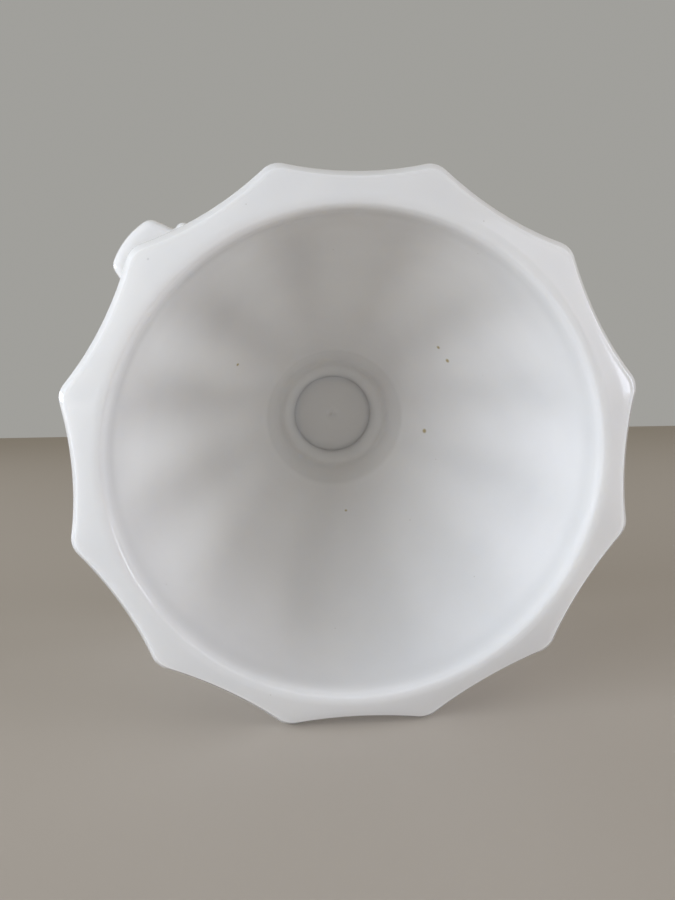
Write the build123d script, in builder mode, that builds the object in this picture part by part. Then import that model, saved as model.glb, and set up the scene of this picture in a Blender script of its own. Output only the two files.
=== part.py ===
from build123d import *
import os
from math import cos, sin, radians

# Milk-glass cake stand: a handled cake plate on a hollow, twelve-fluted bell foot.
# Frame: +Z up, origin on the stand's axis in the plane the foot rests on.
# The two tab handles of the plate point along +X and -X.

os.makedirs("parts", exist_ok=True)

# ------------------------------------------------------------ driving dimensions, mm
SCALLOPS = 12              # scallops round the foot and round the plate
FOOT_TURN = 4.0            # degrees from +X to the first scallop tip of the foot

# foot: scalloped flange
FOOT_TIP_R = 80.0          # axis to a scallop tip before rounding
FOOT_VALLEY_R = 74.8       # axis to the middle of a scallop
TIP_ROUND = 6.0            # rounding of the tips, in plan
FLANGE_TOP_Z = 7.6         # upper edge of the flange
FLANGE_EDGE_Z = 3.6        # lower edge of the flange at a tip
REST_RING_R_IN = 66.4      # flat ring the stand rests on
REST_RING_R_OUT = 68.8
MOUTH_R = 65.3             # clear radius of the hollow just above the ring

# foot: bell wall.  z, radius on a ridge, radius in a flute
BELL_SECTIONS = [
    (7.0, 74.4, 69.6),
    (12.0, 71.6, 67.0),
    (20.0, 69.2, 64.7),
    (32.0, 65.3, 61.2),
    (45.0, 60.0, 56.4),
    (58.0, 53.2, 50.2),
    (70.0, 44.6, 42.3),
    (80.0, 35.6, 34.2),
    (88.0, 28.8, 28.2),
    (95.0, 25.2, 25.0),
    (98.0, 24.6, 24.5),
]
# hollow of the foot: radius, z, from the mouth to the neck
HOLLOW = [
    (MOUTH_R, 1.8),
    (64.3, 11.0),
    (61.7, 23.0),
    (56.4, 39.0),
    (48.4, 55.0),
    (37.6, 70.0),
    (27.6, 80.6),
]
RING_R, RING_Z = 24.8, 83.4      # soft ring where the bell turns into the neck
SHOULDER_R, SHOULDER_Z = 18.6, 89.4
BORE_R = 14.6              # bore at the top of the neck
NECK_TOP_Z = 98.0

# joining wafer
SPIGOT_R = 14.2
SPIGOT_Z = 94.4            # lower face, the round disc at the top of the hollow
COLLAR_R = 27.0
WAFER_TOP_Z = 101.2

# cake plate
PLATE_TIP_R = 92.2         # axis to a scallop tip before rounding
PLATE_VALLEY_R = 85.0      # axis to the middle of a scallop
PLATE_TOP_Z = 106.2        # flat serving face
PLATE_LIP_Z = 107.4        # top of the low lip round it
SERVING_R = 77.0           # radius of the flat serving face
LIP_SLOPE = 2.6            # radial width of the slope up to the lip
UNDER_RIM_Z = 101.2        # underside of the plate
HANDLE_R = 101.4           # axis to the slightly curved end of a tab handle
HANDLE_CORNER = (99.2, 11.7)   # corner of the tab before rounding: along the handle, across it
HANDLE_ROOT = (83.0, 16.7)     # where the tab's tapering side runs into the plate
HANDLE_ROUND = 4.5
EAR_CENTRE_R = 88.5        # small ear either side of a handle
EAR_ANGLE = 10.6
EAR_R = 3.1
EDGE_ROUND = 1.5           # fire-polished rounding of the plate's edge


def polar(radius, angle):
    return (radius * cos(radians(angle)), radius * sin(radians(angle)))


def scallop_arcs(tip_r, valley_r, turn):
    """Twelve concave arcs, tip to tip, in the current line builder."""
    step = 360.0 / SCALLOPS
    for k in range(SCALLOPS):
        a = turn + k * step
        ThreePointArc(polar(tip_r, a), polar(valley_r, a + step / 2), polar(tip_r, a + step))


# ------------------------------------------------------------ pedestal foot
with BuildPart() as pedestal_foot:
    # fluted bell: scalloped sections that shrink and soften towards the neck
    for z, ridge_r, flute_r in BELL_SECTIONS:
        with BuildSketch(Plane.XY.offset(z)):
            with BuildLine():
                scallop_arcs(ridge_r, flute_r, FOOT_TURN)
            make_face()
    loft()
    # scalloped flange with rounded tips
    with BuildSketch(Plane.XY) as flange_plan:
        with BuildLine():
            scallop_arcs(FOOT_TIP_R, FOOT_VALLEY_R, FOOT_TURN)
        make_face()
        fillet(flange_plan.vertices(), TIP_ROUND)
    extrude(amount=FLANGE_TOP_Z)
    # underside of the flange slopes up and out from the rest ring
    with BuildSketch(Plane.XZ):
        with BuildLine():
            Polyline(
                (REST_RING_R_OUT, -1.0),
                (REST_RING_R_OUT, 0.0),
                (FOOT_TIP_R + 0.2, FLANGE_EDGE_Z),
                (FOOT_TIP_R + 6.0, FLANGE_EDGE_Z + 1.7),
                (FOOT_TIP_R + 6.0, -1.0),
                close=True,
            )
        make_face()
    revolve(axis=Axis.Z, mode=Mode.SUBTRACT)
    # top of the flange falls away towards its edge
    with BuildSketch(Plane.XZ):
        with BuildLine():
            Polyline(
                (FOOT_VALLEY_R - 2.5, FLANGE_TOP_Z + 1.0),
                (FOOT_VALLEY_R - 2.5, FLANGE_TOP_Z),
                (FOOT_TIP_R + 1.0, FLANGE_TOP_Z - 0.9),
                (FOOT_TIP_R + 6.0, FLANGE_TOP_Z - 1.7),
                (FOOT_TIP_R + 6.0, FLANGE_TOP_Z + 1.0),
                close=True,
            )
        make_face()
    revolve(axis=Axis.Z, mode=Mode.SUBTRACT)
    # hollow, open at the foot and again at the neck
    with BuildSketch(Plane.XZ):
        with BuildLine():
            Line((0, -1.0), (REST_RING_R_IN, -1.0))
            Line((REST_RING_R_IN, -1.0), (REST_RING_R_IN, 0.0))
            Line((REST_RING_R_IN, 0.0), HOLLOW[0])
            Spline(*HOLLOW)
            Line(HOLLOW[-1], (RING_R, RING_Z))
            Line((RING_R, RING_Z), (SHOULDER_R, SHOULDER_Z))
            Line((SHOULDER_R, SHOULDER_Z), (BORE_R, SPIGOT_Z - 1.6))
            Line((BORE_R, SPIGOT_Z - 1.6), (BORE_R, NECK_TOP_Z + 1.0))
            Line((BORE_R, NECK_TOP_Z + 1.0), (0, NECK_TOP_Z + 1.0))
            Line((0, NECK_TOP_Z + 1.0), (0, -1.0))
        make_face()
    revolve(axis=Axis.Z, mode=Mode.SUBTRACT)
pedestal_foot.part.label = "pedestal_foot"
export_step(pedestal_foot.part, "parts/pedestal_foot.step")

# ------------------------------------------------------------ joining wafer
with BuildPart() as joining_wafer:
    with BuildSketch(Plane.XZ):
        with BuildLine():
            Polyline(
                (0, SPIGOT_Z),
                (SPIGOT_R - 0.9, SPIGOT_Z),
                (SPIGOT_R, SPIGOT_Z + 0.9),
                (SPIGOT_R, NECK_TOP_Z),
                (COLLAR_R - 1.4, NECK_TOP_Z),
            )
            ThreePointArc(
                (COLLAR_R - 1.4, NECK_TOP_Z),
                (COLLAR_R, (NECK_TOP_Z + WAFER_TOP_Z) / 2),
                (COLLAR_R - 1.4, WAFER_TOP_Z),
            )
            Polyline((COLLAR_R - 1.4, WAFER_TOP_Z), (0, WAFER_TOP_Z), (0, SPIGOT_Z))
        make_face()
    revolve(axis=Axis.Z)
joining_wafer.part.label = "joining_wafer"
export_step(joining_wafer.part, "parts/joining_wafer.step")

# ------------------------------------------------------------ cake plate
with BuildPart() as cake_plate:
    with BuildSketch(Plane.XY.offset(UNDER_RIM_Z)) as plate_plan:
        with BuildLine():
            scallop_arcs(PLATE_TIP_R, PLATE_VALLEY_R, 0.0)
        make_face()
        # the tips under the handles stay as they are, the other ten are rounded
        fillet([v for v in plate_plan.vertices() if abs(v.Y) > HANDLE_ROOT[1]], TIP_ROUND)
        # two tab handles with a small ear either side, pressed in one with the plate
        for side in (1, -1):
            with BuildLine():
                (root_x, root_y), (end_x, end_y) = HANDLE_ROOT, HANDLE_CORNER
                Polyline((side * end_x, end_y), (side * root_x, root_y),
                         (side * root_x, -root_y), (side * end_x, -end_y))
                ThreePointArc((side * end_x, -end_y), (side * HANDLE_R, 0), (side * end_x, end_y))
            make_face()
            for ear in (-EAR_ANGLE, EAR_ANGLE):
                x, y = polar(EAR_CENTRE_R, ear)
                with Locations((side * x, y)):
                    Circle(EAR_R)
        fillet([v for v in plate_plan.vertices() if abs(v.X) > HANDLE_CORNER[0] - 0.1], HANDLE_ROUND)
    extrude(amount=PLATE_LIP_Z - UNDER_RIM_Z)
    # serving face sunk inside a low lip
    with BuildSketch(Plane.XZ):
        with BuildLine():
            Polyline(
                (0, PLATE_TOP_Z),
                (SERVING_R, PLATE_TOP_Z),
                (SERVING_R + LIP_SLOPE, PLATE_LIP_Z),
                (SERVING_R + LIP_SLOPE, PLATE_LIP_Z + 1.0),
                (0, PLATE_LIP_Z + 1.0),
                close=True,
            )
        make_face()
    revolve(axis=Axis.Z, mode=Mode.SUBTRACT)
    # fire-polished edge, above and below
    top_face = cake_plate.faces().filter_by(Axis.Z).sort_by(Axis.Z)[-1]
    fillet(top_face.outer_wire().edges(), EDGE_ROUND)
    under_face = cake_plate.faces().filter_by(Axis.Z).sort_by(Axis.Z)[0]
    fillet(under_face.outer_wire().edges(), EDGE_ROUND)
cake_plate.part.label = "cake_plate"
export_step(cake_plate.part, "parts/cake_plate.step")

for piece in (pedestal_foot, joining_wafer, cake_plate):
    box = piece.part.bounding_box()
    print(piece.part.label, len(piece.part.solids()), "solid(s)",
          "volume %.1f cm3" % (piece.part.volume / 1000.0),
          "z %.2f to %.2f" % (box.min.Z, box.max.Z), "valid", piece.part.is_valid)
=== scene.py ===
import bpy
import bmesh
import math
from mathutils import Matrix, Vector


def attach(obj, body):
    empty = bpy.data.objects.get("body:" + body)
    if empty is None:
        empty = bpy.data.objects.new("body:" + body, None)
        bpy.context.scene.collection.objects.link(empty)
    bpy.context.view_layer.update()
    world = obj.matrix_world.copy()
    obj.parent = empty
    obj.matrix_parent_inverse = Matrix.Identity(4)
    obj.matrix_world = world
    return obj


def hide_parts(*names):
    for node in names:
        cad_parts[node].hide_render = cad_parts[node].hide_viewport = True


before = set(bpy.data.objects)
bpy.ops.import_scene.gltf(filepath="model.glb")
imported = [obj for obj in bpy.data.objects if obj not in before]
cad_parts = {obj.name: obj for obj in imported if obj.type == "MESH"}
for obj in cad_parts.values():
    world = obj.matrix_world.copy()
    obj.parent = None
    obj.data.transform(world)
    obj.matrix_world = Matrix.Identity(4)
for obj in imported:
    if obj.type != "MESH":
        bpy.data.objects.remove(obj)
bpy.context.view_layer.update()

MM = 0.001
SCALLOPS = 12
FOOT_TURN = 4.0

# ---------------------------------------------------------------- scalloped outline


def scallop_table(tip, valley, rounding, n=240):
    """Radius round one scallop, from a tip (0) to the next tip: concave arcs with rounded tips."""
    a = math.radians(180.0 / SCALLOPS)
    half, dist = tip * math.sin(a), tip * math.cos(a)
    sag = dist - valley
    rho = (half * half + sag * sag) / (2 * sag)
    c = valley + rho
    cx, cy = c * math.cos(a), c * math.sin(a)
    x0 = cx - math.sqrt((rho + rounding) ** 2 - cy * cy)
    tx, ty = x0 + (cx - x0) * rounding / (rho + rounding), cy * rounding / (rho + rounding)
    limit = math.atan2(ty, tx)
    out = []
    for i in range(n + 1):
        t = 2 * a * i / n
        u = min(t, 2 * a - t)
        if u < limit:
            r = x0 * math.cos(u) + math.sqrt(max(rounding ** 2 - (x0 * math.sin(u)) ** 2, 0.0))
        else:
            d = a - u
            r = c * math.cos(d) - math.sqrt(max(rho ** 2 - (c * math.sin(d)) ** 2, 0.0))
        out.append(r)
    return out


def sampler(table):
    n = len(table) - 1
    step = 360.0 / SCALLOPS

    def at(deg):
        f = (deg % step) / step * n
        i = min(int(f), n - 1)
        return table[i] + (table[i + 1] - table[i]) * (f - i)
    return at


foot_rim = sampler(scallop_table(80.0, 74.8, 6.0))
FOOT_TIP, FOOT_VALLEY = foot_rim(0.0), foot_rim(15.0)


def foot_share(deg):
    """1 on a ridge, 0 in the middle of a flute."""
    return (foot_rim(deg - FOOT_TURN) - FOOT_VALLEY) / (FOOT_TIP - FOOT_VALLEY)


def spline(points, steps):
    """Catmull-Rom through (r, z, ...) rows, steps samples on each span."""
    p = [points[0]] + list(points) + [points[-1]]
    out = []
    for i in range(1, len(p) - 2):
        for s in range(steps):
            t = s / steps
            row = []
            for k in range(len(points[0])):
                a, b, c, d = p[i - 1][k], p[i][k], p[i + 1][k], p[i + 2][k]
                row.append(0.5 * (2 * b + (c - a) * t + (2 * a - 5 * b + 4 * c - d) * t * t
                                  + (3 * b - a - 3 * c + d) * t ** 3))
            out.append(tuple(row))
    out.append(tuple(points[-1]))
    return out


def lathe(name, rows, segments, radius_of):
    """Closed ring of rows round Z.  radius_of(row, degrees) gives (r, z) in mm."""
    bm = bmesh.new()
    grid = []
    for row in rows:
        ring = []
        for s in range(segments):
            deg = 360.0 * s / segments
            r, z = radius_of(row, deg)
            a = math.radians(deg)
            ring.append(bm.verts.new((r * math.cos(a) * MM, r * math.sin(a) * MM, z * MM)))
        grid.append(ring)
    for i in range(len(rows)):
        g, h = grid[i], grid[(i + 1) % len(rows)]
        for s in range(segments):
            t = (s + 1) % segments
            bm.faces.new((g[s], g[t], h[t], h[s]))
    bmesh.ops.recalc_face_normals(bm, faces=bm.faces)
    me = bpy.data.meshes.new(name)
    bm.to_mesh(me)
    bm.free()
    for f in me.polygons:
        f.use_smooth = True
    ob = bpy.data.objects.new(name, me)
    bpy.context.scene.collection.objects.link(ob)
    return ob


# ---------------------------------------------------------------- pedestal foot
# Outer wall: (ridge radius, flute radius, z), from the flange's upper edge to the top of the neck.
outer = spline([
    (75.6, 71.0, 7.35),
    (73.2, 68.7, 8.6),
    (71.6, 67.1, 12.0),
    (69.3, 64.9, 20.0),
    (65.4, 61.2, 32.0),
    (60.0, 56.3, 45.0),
    (52.9, 49.9, 58.0),
    (44.3, 42.0, 70.0),
    (35.6, 34.2, 80.0),
    (28.8, 28.2, 88.0),
    (25.3, 25.1, 95.0),
    (24.8, 24.7, 97.2),
], 7)
# Flange edge: (inset from the scalloped outline, z).  A tight lower corner, a leaning band, a rounded top.
EDGE = 2.3
EDGE_Z, EDGE_TOP = 3.25, 6.8
SLOPE = 0.33


def arc(cx, cz, radius, a0, a1, n):
    return [(cx - radius * math.cos(math.radians(a0 + (a1 - a0) * k / n)),
             cz + radius * math.sin(math.radians(a0 + (a1 - a0) * k / n))) for k in range(n + 1)]


edge = arc(2.0, 3.85, 0.62, -76.0, -40.0, 6)
edge += arc(1.35, 5.45, 1.35, -38.0, 90.0, 14)[1:]
# Hollow: (r, z), from the rest ring in to the neck bore.
hollow = spline([
    (66.15, 0.55),
    (65.55, 1.7),
    (65.1, 4.0),
    (64.3, 11.0),
    (61.7, 23.0),
    (56.4, 39.0),
    (48.4, 55.0),
    (37.6, 70.0),
    (30.2, 78.1),
    (27.2, 80.9),
    (25.4, 82.4),
    (24.2, 84.2),
    (22.4, 87.0),
    (21.1, 88.9),
    (19.9, 89.75),
    (18.5, 89.8),
    (17.2, 90.2),
    (16.0, 91.0),
    (15.1, 92.0),
    (14.5, 93.1),
    (14.25, 94.2),
    (14.2, 95.2),
    (14.2, 96.2),
], 7)

rows = []
# rest ring and sloping underside of the flange, going out
rows += [("round", 66.35, 0.28), ("round", 66.6, 0.10), ("round", 66.85, 0.02), ("round", 67.1, 0.0),
         ("round", 67.6, 0.0), ("round", 67.9, 0.01), ("round", 68.3, 0.05), ("round", 69.0, 0.16)]
for k in range(1, 15):
    rows.append(("under", k / 14.0, 0.0))
for inset, z in edge:
    rows.append(("edge", inset, z))
for a, b, z in outer:
    rows.append(("wall", (a, b), z))
rows += [("round", 24.2, 97.8), ("round", 23.4, 98.0), ("round", 20.0, 98.0), ("round", 16.0, 98.0),
         ("round", 14.9, 97.9), ("round", 14.6, 97.5)]
for r, z in reversed(hollow):
    rows.append(("round", r, z))


def foot_radius(row, deg):
    kind, a, b = row
    rim = foot_rim(deg - FOOT_TURN)
    if kind == "round":
        return a, b
    # lower corner of the edge, on the cone that runs out from the rest ring
    low = 0.16 + SLOPE * (rim - EDGE - 69.0)
    if kind == "under":
        r = 69.0 + (rim - EDGE - 69.0) * a
        return r, 0.16 + (low - 0.16) * (0.9 * a + 0.1 * a ** 3)
    if kind == "edge":
        return rim - a, low + (b - EDGE_Z) * (EDGE_TOP - low) / (EDGE_TOP - EDGE_Z)
    ridge, flute = a
    return flute + (ridge - flute) * foot_share(deg), b


foot = lathe("foot_glass", rows, 12 * 48, foot_radius)

# ---------------------------------------------------------------- joining wafer
# the disc meets the bore in a small hollow round, where the hot glass ran together
prof = [(0.02, 93.75), (3.0, 93.77), (6.0, 93.82), (9.0, 93.88), (11.0, 93.88), (12.2, 93.82), (13.0, 93.70),
        (13.6, 93.54), (14.1, 93.34), (14.6, 93.08), (15.0, 92.95), (15.4, 93.6), (15.4, 96.0), (15.1, 97.4),
        (15.1, 98.0), (20.0, 98.0), (24.6, 98.0)]
for k in range(13):
    a = math.radians(-90 + 180 * k / 12)
    prof.append((25.4 + 1.6 * math.cos(a), 99.6 + 1.6 * math.sin(a)))
prof += [(24.6, 101.2), (20.0, 101.2), (10.0, 101.2), (0.02, 101.2)]
wafer = lathe("wafer_glass", prof, 192, lambda row, deg: row)

# ---------------------------------------------------------------- cake plate
plate_rim = sampler(scallop_table(92.2, 85.0, 6.0))
HR = 101.4
EAR_C, EAR_A, EAR_R = 88.5, 10.6, 3.1


def soft_max(a, b, k):
    d = max(k - abs(a - b), 0.0) / k
    return max(a, b) + d * d * k * 0.25


def soft_min(a, b, k):
    return -soft_max(-a, -b, k)


def tab_reach(deg):
    """Radius of a tab handle's own outline near its axis: curved end, rounded corner, tapering side."""
    a = math.radians(abs(deg))
    c, sn = math.cos(a), math.sin(a)
    (ax, ay), (bx, by) = CORNER, ROOT
    length = math.hypot(ax - bx, ay - by)
    ux, uy = (bx - ax) / length, (by - ay) / length
    # outward normal of the side, and its distance from the axis
    mx, my = uy, -ux
    side = (ax * mx + ay * my) / (c * mx + sn * my) if c * mx + sn * my > 1e-6 else 1e3
    end = END_C * c + math.sqrt(max(END_R ** 2 - (END_C * sn) ** 2, 0.0))
    r = min(side, end)
    if FIL_A0 < a < FIL_A1:
        d = FIL_X * c + FIL_Y * sn
        r = d + math.sqrt(max(ROUND ** 2 - (FIL_X ** 2 + FIL_Y ** 2 - d * d), 0.0))
    return r


CORNER, ROOT, ROUND = (99.2, 11.7), (83.0, 16.7), 4.5
END_R = (11.7 ** 2 + 2.2 ** 2) / (2 * 2.2)
END_C = HR - END_R
# centre of the rounded corner: ROUND inside the side and ROUND inside the end
_l = math.hypot(CORNER[0] - ROOT[0], CORNER[1] - ROOT[1])
_ux, _uy = (ROOT[0] - CORNER[0]) / _l, (ROOT[1] - CORNER[1]) / _l
_lo, _hi = 0.0, 16.0
for _ in range(60):
    _t = (_lo + _hi) / 2
    FIL_X = CORNER[0] + _ux * _t - _uy * ROUND
    FIL_Y = CORNER[1] + _uy * _t + _ux * ROUND
    if math.hypot(FIL_X - END_C, FIL_Y) > END_R - ROUND:
        _lo = _t
    else:
        _hi = _t
_q = math.hypot(FIL_X - END_C, FIL_Y)
FIL_A0 = math.atan2(FIL_Y + FIL_Y / _q * ROUND, FIL_X + (FIL_X - END_C) / _q * ROUND)
FIL_A1 = math.atan2(FIL_Y - _ux * ROUND, FIL_X + _uy * ROUND)


def plate_outline(deg):
    """Radius of the plate's outline: scallops, two tab handles and their ears."""
    d = (deg + 90.0) % 180.0 - 90.0
    r = plate_rim(deg)
    if abs(d) < 20:
        r = soft_max(r, tab_reach(d), 1.0)
        for sign in (-1, 1):
            e = math.radians(d - sign * EAR_A)
            hit = EAR_R ** 2 - (EAR_C * math.sin(e)) ** 2
            if hit > 0 and abs(e) < 0.2:
                r = soft_max(r, EAR_C * math.cos(e) + math.sqrt(hit), 0.6)
    return min(r, HR)


def smooth_loop(values, rounds, weight=0.5):
    n = len(values)
    for _ in range(rounds):
        values = [values[i] * (1 - weight) + (values[i - 1] + values[(i + 1) % n]) * weight / 2 for i in range(n)]
    return values


def even_loop(points, count):
    """The same closed line with its points spaced evenly."""
    n = len(points)
    run = [0.0]
    for i in range(n):
        a, b = points[i], points[(i + 1) % n]
        run.append(run[-1] + math.hypot(b[0] - a[0], b[1] - a[1]))
    out, j = [], 0
    for k in range(count):
        t = run[-1] * k / count
        while run[j + 1] < t:
            j += 1
        u = (t - run[j]) / max(run[j + 1] - run[j], 1e-9)
        a, b = points[j], points[(j + 1) % n]
        out.append((a[0] + (b[0] - a[0]) * u, a[1] + (b[1] - a[1]) * u))
    return out


def plate_mesh():
    fine = []
    for i in range(18000):
        deg = i * 0.02
        r = plate_outline(deg)
        fine.append((r * math.cos(math.radians(deg)), r * math.sin(math.radians(deg))))
    count = 1440
    loop = even_loop(fine, count)
    xs = smooth_loop([p[0] for p in loop], 6)
    ys = smooth_loop([p[1] for p in loop], 6)
    n = count
    nx, ny, bend = [], [], []
    for i in range(n):
        tx, ty = xs[(i + 1) % n] - xs[i - 1], ys[(i + 1) % n] - ys[i - 1]
        length = math.hypot(tx, ty)
        nx.append(ty / length)
        ny.append(-tx / length)
    for i in range(n):
        # turn of the outline per mm, positive where it bulges out
        cross = nx[i - 1] * ny[(i + 1) % n] - ny[i - 1] * nx[(i + 1) % n]
        step = math.hypot(xs[(i + 1) % n] - xs[i - 1], ys[(i + 1) % n] - ys[i - 1])
        bend.append(max(cross / step, 0.0))
    bend = smooth_loop(bend, 12)
    low_in, low_up, top_in, top_down = 3.8, 4.0, 1.6, 1.6
    share = [min(1.0, 0.78 / (low_in * max(b, 1e-6))) for b in bend]
    share = [min(share[(i + k) % n] for k in range(-14, 15)) for i in range(n)]
    share = smooth_loop(share, 260)
    z0, z1 = 101.2, 107.4
    rings = []

    def inset(d, z):
        return [(xs[i] - nx[i] * d * share[i], ys[i] - ny[i] * d * share[i], z) for i in range(n)]

    low = []
    for k in range(11):
        a = math.radians(90.0 * k / 10)
        low.append(inset(low_in * (1 - math.sin(a)), z0 + low_up * (1 - math.cos(a))))
    edge = low + [inset(0.0, z1 - top_down - 0.05)]
    for k in range(1, 9):
        a = math.radians(90.0 * k / 8)
        edge.append(inset(top_in * (1 - math.cos(a)), z1 - top_down + top_down * math.sin(a)))
    start, end = edge[0], edge[-1]

    def towards(ring, radius, t, z):
        out = []
        for x, y, _ in ring:
            r = math.hypot(x, y)
            f = (r + (radius - r) * t) / r
            out.append((x * f, y * f, z))
        return out

    under = [[(0.0, 0.0, z0)] * 0]
    under = []
    for r in (26.0, 45.0, 62.0):
        under.append([(r * x / math.hypot(x, y), r * y / math.hypot(x, y), z0) for x, y, _ in start])
    under += [towards(start, 74.0, 1.0, z0), towards(start, 74.0, 0.66, z0), towards(start, 74.0, 0.33, z0)]
    over = [towards(end, 81.0, 0.3, z1), towards(end, 81.0, 0.6, z1), towards(end, 81.0, 0.85, z1)]
    for k in range(9):
        # soft step from the lip down to the serving face
        t = k / 8
        r = 80.8 - 3.6 * t
        z = z1 - 1.2 * (t * t * (3 - 2 * t))
        over.append([(r * x / math.hypot(x, y), r * y / math.hypot(x, y), z) for x, y, _ in end])
    for r in (74.0, 66.0, 54.0, 40.0, 24.0, 10.0):
        over.append([(r * x / math.hypot(x, y), r * y / math.hypot(x, y), 106.2) for x, y, _ in end])
    rings = under + edge + over
    bm = bmesh.new()
    grid = [[bm.verts.new((x * MM, y * MM, z * MM)) for x, y, z in ring] for ring in rings]
    for g, h in zip(grid, grid[1:]):
        for i in range(n):
            j = (i + 1) % n
            bm.faces.new((g[i], g[j], h[j], h[i]))
    for ring, z in ((grid[0], z0), (grid[-1], 106.2)):
        mid = bm.verts.new((0.0, 0.0, z * MM))
        for i in range(n):
            bm.faces.new((ring[i], ring[(i + 1) % n], mid))
    bmesh.ops.recalc_face_normals(bm, faces=bm.faces)
    me = bpy.data.meshes.new("plate_glass")
    bm.to_mesh(me)
    bm.free()
    for f in me.polygons:
        f.use_smooth = True
    ob = bpy.data.objects.new("plate_glass", me)
    bpy.context.scene.collection.objects.link(ob)
    return ob


plate = plate_mesh()

# ---------------------------------------------------------------- milk glass


class Nodes:
    """Short way to add nodes and links to a material."""

    def __init__(self, name):
        self.mat = bpy.data.materials.new(name)
        self.mat.use_nodes = True
        self.tree = self.mat.node_tree
        self.tree.nodes.clear()

    def add(self, kind, **settings):
        node = self.tree.nodes.new(kind)
        for key, value in settings.items():
            if key == "inputs":
                for name, v in value.items():
                    node.inputs[name].default_value = v
            else:
                setattr(node, key, value)
        return node

    def link(self, a, out, b, inp):
        self.tree.links.new(a.outputs[out], b.inputs[inp])


def milk_glass(name, specks=()):
    n = Nodes(name)
    out = n.add("ShaderNodeOutputMaterial")
    p = n.add("ShaderNodeBsdfPrincipled")
    p.subsurface_method = "RANDOM_WALK"
    for key, v in (("IOR", 1.5), ("Subsurface Weight", 1.0), ("Subsurface Radius", (1.0, 0.97, 0.92)),
                   ("Subsurface Scale", 0.005), ("Specular IOR Level", 0.5), ("Coat Weight", 0.12),
                   ("Coat Roughness", 0.03), ("Coat IOR", 1.5)):
        p.inputs[key].default_value = v
    n.link(p, "BSDF", out, "Surface")
    co = n.add("ShaderNodeTexCoord")
    # slow cloudiness of the opal glass
    cloud = n.add("ShaderNodeTexNoise", inputs={"Scale": 22.0, "Detail": 3.0, "Roughness": 0.55, "Distortion": 0.4})
    n.link(co, "Object", cloud, "Vector")
    ramp = n.add("ShaderNodeValToRGB")
    ramp.color_ramp.elements[0].position, ramp.color_ramp.elements[0].color = 0.32, (0.775, 0.770, 0.766, 1)
    ramp.color_ramp.elements[1].position, ramp.color_ramp.elements[1].color = 0.68, (0.822, 0.814, 0.802, 1)
    n.link(cloud, "Fac", ramp, "Fac")
    colour, colour_out = ramp, "Color"
    # fine dust in the glass: rare small darker points
    dots = n.add("ShaderNodeTexVoronoi", inputs={"Scale": 170.0, "Randomness": 1.0})
    n.link(co, "Object", dots, "Vector")
    near = n.add("ShaderNodeMath", operation="LESS_THAN", inputs={1: 0.045})
    n.link(dots, "Distance", near, 0)
    pick = n.add("ShaderNodeSeparateColor")
    n.link(dots, "Color", pick, "Color")
    rare = n.add("ShaderNodeMath", operation="GREATER_THAN", inputs={1: 0.86})
    n.link(pick, "Red", rare, 0)
    both = n.add("ShaderNodeMath", operation="MULTIPLY")
    n.link(near, "Value", both, 0)
    n.link(rare, "Value", both, 1)
    soft = n.add("ShaderNodeMath", operation="MULTIPLY", inputs={1: 0.35})
    n.link(both, "Value", soft, 0)
    mix = n.add("ShaderNodeMix", data_type="RGBA")
    mix.inputs[7].default_value = (0.42, 0.38, 0.33, 1)
    n.link(soft, "Value", mix, 0)
    n.link(colour, colour_out, mix, 6)
    colour, colour_out = mix, 2
    for (x, y, z), size, tint in specks:
        dist = n.add("ShaderNodeVectorMath", operation="DISTANCE")
        dist.inputs[1].default_value = (x, y, z)
        n.link(co, "Object", dist, 0)
        mask = n.add("ShaderNodeMapRange", interpolation_type="SMOOTHSTEP",
                     inputs={"From Min": size * 1.25, "From Max": size * 0.45, "To Min": 0.0, "To Max": 1.0})
        n.link(dist, "Value", mask, "Value")
        m = n.add("ShaderNodeMix", data_type="RGBA")
        m.inputs[7].default_value = tint
        n.link(mask, "Result", m, 0)
        n.link(colour, colour_out, m, 6)
        colour, colour_out = m, 2
    n.link(colour, colour_out, p, "Base Color")
    # roughness: fire-polished, with faint wiping marks and fine scratches
    wipe = n.add("ShaderNodeTexNoise", inputs={"Scale": 60.0, "Detail": 5.0, "Roughness": 0.6, "Distortion": 1.2})
    n.link(co, "Object", wipe, "Vector")
    rough = n.add("ShaderNodeMapRange", inputs={"From Min": 0.3, "From Max": 0.75, "To Min": 0.045, "To Max": 0.13})
    n.link(wipe, "Fac", rough, "Value")
    n.link(rough, "Result", p, "Roughness")
    # bump: slow waviness left by the mould, and hairline scratches
    wave = n.add("ShaderNodeTexNoise", inputs={"Scale": 34.0, "Detail": 1.5, "Roughness": 0.4})
    n.link(co, "Object", wave, "Vector")
    bump = n.add("ShaderNodeBump", inputs={"Strength": 0.35, "Distance": 0.0006})
    n.link(wave, "Fac", bump, "Height")
    stretch = n.add("ShaderNodeMapping")
    stretch.inputs["Rotation"].default_value = (0.4, 0.2, 0.7)
    stretch.inputs["Scale"].default_value = (18.0, 900.0, 60.0)
    n.link(co, "Object", stretch, "Vector")
    hair = n.add("ShaderNodeTexNoise", inputs={"Scale": 1.0, "Detail": 2.0, "Roughness": 0.5})
    n.link(stretch, "Vector", hair, "Vector")
    line = n.add("ShaderNodeMapRange", inputs={"From Min": 0.70, "From Max": 0.80, "To Min": 0.0, "To Max": 1.0})
    n.link(hair, "Fac", line, "Value")
    bump2 = n.add("ShaderNodeBump", inputs={"Strength": 0.12, "Distance": 0.00006})
    n.link(line, "Result", bump2, "Height")
    n.link(bump, "Normal", bump2, "Normal")
    n.link(bump2, "Normal", p, "Normal")
    return n.mat


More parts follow.
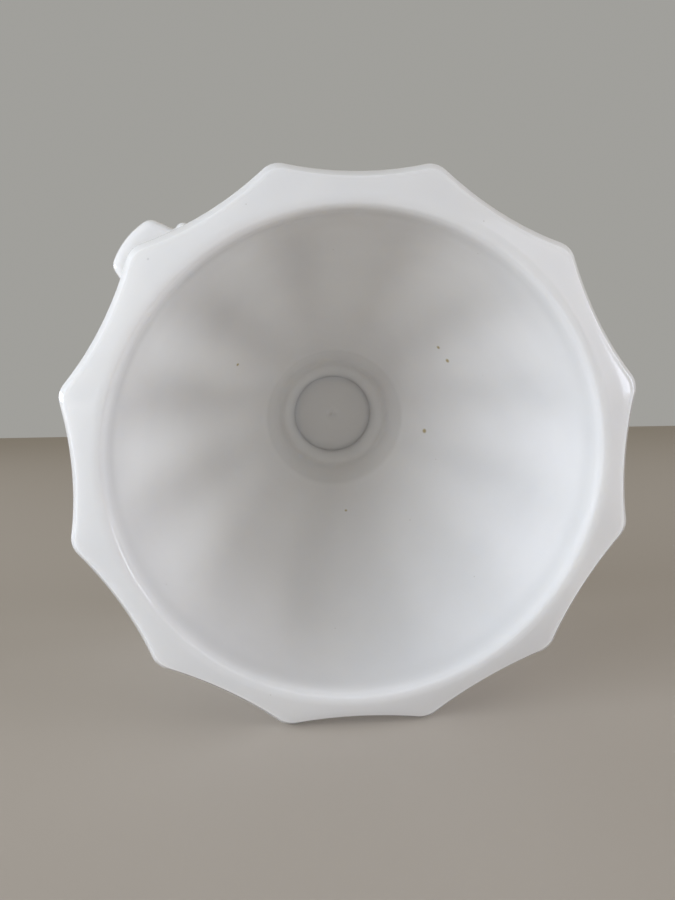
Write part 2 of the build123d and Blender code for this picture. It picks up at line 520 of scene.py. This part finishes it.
BROWN, GREY = (0.50, 0.42, 0.24, 1), (0.26, 0.24, 0.24, 1)
SPECKS = [((-0.0274, 0.0180, 0.0752), 0.0009, BROWN), ((-0.0244, -0.0231, 0.0742), 0.0006, BROWN),
          ((-0.0082, 0.0427, 0.0619), 0.0007, BROWN), ((-0.0136, 0.0414, 0.0618), 0.0008, BROWN),
          ((0.0401, -0.0060, 0.0660), 0.0006, BROWN),
          ((0.0694, -0.0281, 0.0013), 0.0006, GREY), ((0.0743, 0.0067, 0.0013), 0.0006, GREY),
          ((0.0611, 0.0443, 0.0015), 0.0006, GREY), ((0.0418, -0.0633, 0.0015), 0.0006, GREY)]
glass = milk_glass("milk_glass_opal", SPECKS)
for ob in (foot, wafer, plate):
    ob.data.materials.append(glass)

# ---------------------------------------------------------------- camera, as the object is looked at: up into the foot
turn = Matrix.Rotation(math.radians(154.0), 3, "Z")
rv = Vector((0.1930, -0.1041, 0.2437))
R = Matrix.Rotation(rv.length, 3, rv.normalized())
T = Vector((0.0644, 0.0494, 2.4526)) * 0.080
cols = (turn @ Vector(R[0]), turn @ -Vector(R[1]), turn @ -Vector(R[2]))
eye = turn @ (-(R.transposed() @ T) + Vector((0.0, 0.0, 0.0036)))
cam_data = bpy.data.cameras.new("photo_camera")
cam_data.sensor_width = 36.0
cam_data.lens = 29.24
cam_data.clip_start, cam_data.clip_end = 0.01, 50.0
cam = bpy.data.objects.new("photo_camera", cam_data)
bpy.context.scene.collection.objects.link(cam)
cam.matrix_world = Matrix((
    (cols[0].x, cols[1].x, cols[2].x, eye.x),
    (cols[0].y, cols[1].y, cols[2].y, eye.y),
    (cols[0].z, cols[1].z, cols[2].z, eye.z),
    (0.0, 0.0, 0.0, 1.0)))
bpy.context.scene.camera = cam
RIGHT, UP, BACK = cols


def at(right, up, back, centre=(0.0, 0.0, 0.045)):
    """A point given along the main view's own directions, in metres from the stand's middle."""
    return Vector(centre) + RIGHT * right + UP * up + BACK * back


def area(name, place, target, size, power, colour=(1, 1, 1), size_y=None, spread=None):
    d = bpy.data.lights.new(name, "AREA")
    d.energy, d.color = power, colour
    d.shape = "RECTANGLE" if size_y else "DISK"
    d.size = size
    if size_y:
        d.size_y = size_y
    if spread:
        d.spread = math.radians(spread)
    o = bpy.data.objects.new(name, d)
    bpy.context.scene.collection.objects.link(o)
    o.location = place
    o.visible_camera = False
    o.rotation_mode = "QUATERNION"
    o.rotation_quaternion = (Vector(target) - Vector(place)).to_track_quat("-Z", "Y")
    return o


mid = Vector((0.0, 0.0, 0.045))
# name, place (right, up, back), width, height, power, colour
LIGHTS = [
    ("window_left", (-1.05, 0.10, 0.72), 0.8, 1.0, 18.6, (0.80, 0.88, 1.0)),
    ("room_right", (1.1, 0.30, 0.60), 1.0, 1.0, 4.0, (0.84, 0.88, 1.0)),
    ("window_left_rear", (-1.1, 0.05, -0.25), 0.22, 0.9, 2.6, (0.86, 0.90, 1.0)),
    ("window_right", (1.2, 0.10, 0.10), 0.6, 0.9, 8.6, (0.82, 0.87, 1.0)),
]
for name, place, wide, tall, power, colour in LIGHTS:
    lamp = area(name, at(*place), mid, wide, power, colour, tall)
    # the photo shows no reflection of the near left window on the flange
    lamp.visible_glossy = name != "window_left"

world = bpy.data.worlds.new("studio")
world.use_nodes = True
wt = world.node_tree
bg = wt.nodes["Background"]
bg.inputs["Color"].default_value = (1.0, 0.93, 0.80, 1)
bg.inputs["Strength"].default_value = 0.33
wall = wt.nodes.new("ShaderNodeBackground")
wall.inputs["Color"].default_value = (0.355, 0.350, 0.330, 1)
seen = wt.nodes.new("ShaderNodeLightPath")
pick = wt.nodes.new("ShaderNodeMixShader")
wt.links.new(seen.outputs["Is Camera Ray"], pick.inputs[0])
wt.links.new(bg.outputs["Background"], pick.inputs[1])
wt.links.new(wall.outputs["Background"], pick.inputs[2])
wt.links.new(pick.outputs["Shader"], wt.nodes["World Output"].inputs["Surface"])
bpy.context.scene.world = world
bpy.context.scene.view_settings.view_transform = "Standard"

# ---------------------------------------------------------------- floor, under the stand as it lies on its side
hull = bmesh.new()
for ob in (foot, plate):
    for v in list(ob.data.vertices)[::2]:
        hull.verts.new(v.co)
bmesh.ops.convex_hull(hull, input=hull.verts)
rest_n, rest_p, best = None, None, -2.0
for f in hull.faces:
    if f.calc_area() > 0.001 and f.normal.dot(-UP) > best:
        best, rest_n, rest_p = f.normal.dot(-UP), f.normal.copy(), f.calc_center_median().copy()
hull.free()
floor_up = -rest_n
away = (-BACK - floor_up * (-BACK).dot(floor_up)).normalized()
side = away.cross(floor_up).normalized()
if side.dot(RIGHT) < 0:
    side = -side
base = rest_p - floor_up * 0.0002


def picture_y(p):
    q = p - eye
    return 450.0 - q.dot(UP) / -q.dot(BACK) * 731.0


far = 0.05
while far < 3.0 and picture_y(base + away * far) > 432.0:
    far += 0.002
corners = [base + side * x + away * y for x, y in ((-2.2, -1.2), (2.2, -1.2), (2.2, far), (-2.2, far))]
me = bpy.data.meshes.new("floor")
me.from_pydata([tuple(c) for c in corners], [], [(0, 1, 2, 3)])
if me.polygons[0].normal.dot(floor_up) < 0:
    me.flip_normals()
floor = bpy.data.objects.new("floor", me)
bpy.context.scene.collection.objects.link(floor)
fl = Nodes("floor_pale")
f_out = fl.add("ShaderNodeOutputMaterial")
f_mix = fl.add("ShaderNodeMixShader")
f_clear = fl.add("ShaderNodeBsdfTransparent")
f_p = fl.add("ShaderNodeBsdfPrincipled")
f_p.inputs["Base Color"].default_value = (0.52, 0.47, 0.41, 1)
f_p.inputs["Roughness"].default_value = 0.55
f_geo = fl.add("ShaderNodeNewGeometry")
fl.link(f_geo, "Backfacing", f_mix, 0)
fl.link(f_p, "BSDF", f_mix, 1)
fl.link(f_clear, "BSDF", f_mix, 2)
fl.link(f_mix, "Shader", f_out, "Surface")
me.materials.append(fl.mat)
print("floor pitch %.1f far %.3f rest %.4f" % (math.degrees(math.asin(max(-1, min(1, floor_up.dot(BACK))))), far, best))

for ob in (foot, wafer, plate):
    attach(ob, "root")
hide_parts("pedestal_foot")
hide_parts("joining_wafer")
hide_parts("cake_plate")
